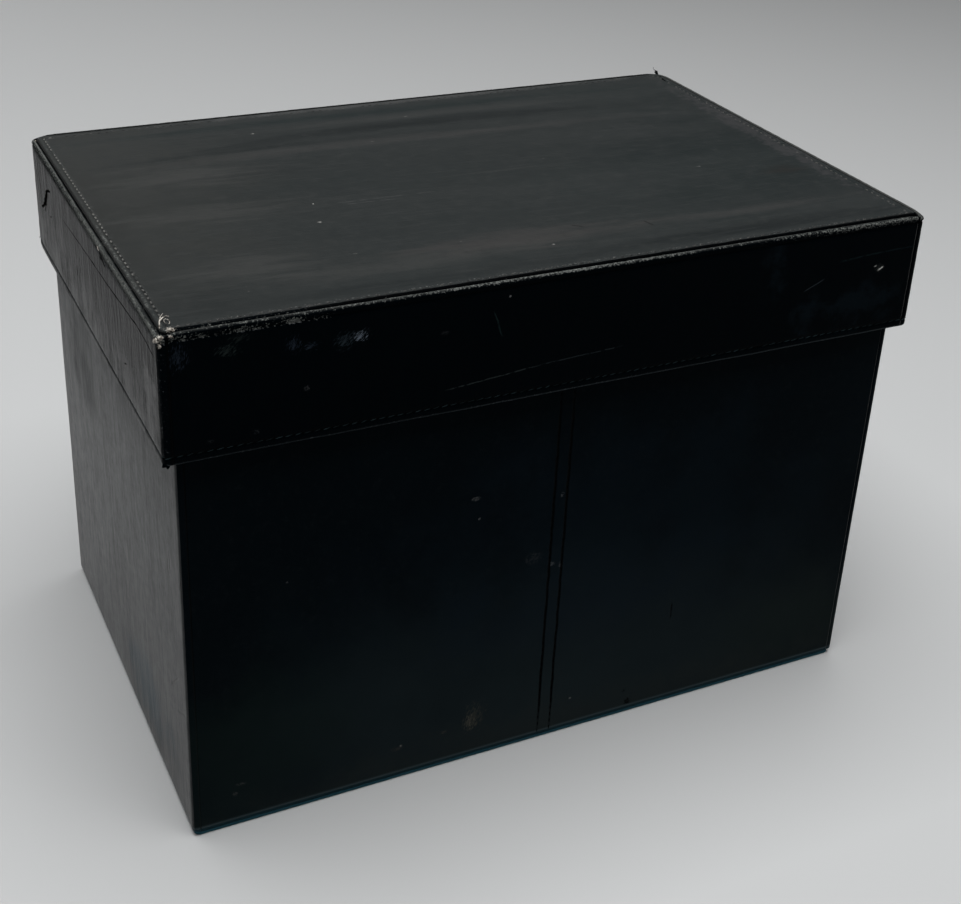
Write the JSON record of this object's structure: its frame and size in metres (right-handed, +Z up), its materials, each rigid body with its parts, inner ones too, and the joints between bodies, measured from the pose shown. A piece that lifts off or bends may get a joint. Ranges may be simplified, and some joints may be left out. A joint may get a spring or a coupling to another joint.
{
  "type": "stationery box",
  "caption": "Rectangular leather-covered box for papers with a deep lift-off lid, stitched edges and a lined inside.",
  "frame": {"origin": "centre of the underside, on the surface the box stands on", "axes": "+X along the box's length, to the right of its front; -Y the front; +Z up"},
  "size_m": [0.3606, 0.2364, 0.2524],
  "materials": {
    "black_leather": "worn satin",
    "board": "matte",
    "lining_cloth": "matte",
    "base_cloth": "matte"
  },
  "bodies": {
    "box": {"base_board": "board", "front_board": "board", "back_board": "board", "left_board": "board", "right_board": "board", "base_cover": "base_cloth", "front_leather_left": "black_leather", "front_leather_right": "black_leather", "back_leather_left": "black_leather", "back_leather_right": "black_leather", "left_leather": "black_leather", "right_leather": "black_leather", "floor_lining": "lining_cloth", "front_lining": "lining_cloth", "back_lining": "lining_cloth", "left_lining": "lining_cloth", "right_lining": "lining_cloth"},
    "lid": {"lid_top_board": "board", "lid_front_board": "board", "lid_back_board": "board", "lid_left_board": "board", "lid_right_board": "board", "lid_top_leather": "black_leather", "lid_front_band": "black_leather", "lid_back_band": "black_leather", "lid_left_band": "black_leather", "lid_right_band": "black_leather", "lid_top_lining": "lining_cloth", "lid_front_lining": "lining_cloth", "lid_back_lining": "lining_cloth", "lid_left_lining": "lining_cloth", "lid_right_lining": "lining_cloth"}
  },
  "joints": [
    {"name": "lid_lift", "type": "slide", "parent": "box", "child": "lid", "axis": [0, 0, 1], "range_m": [0, 0.12]}
  ]
}
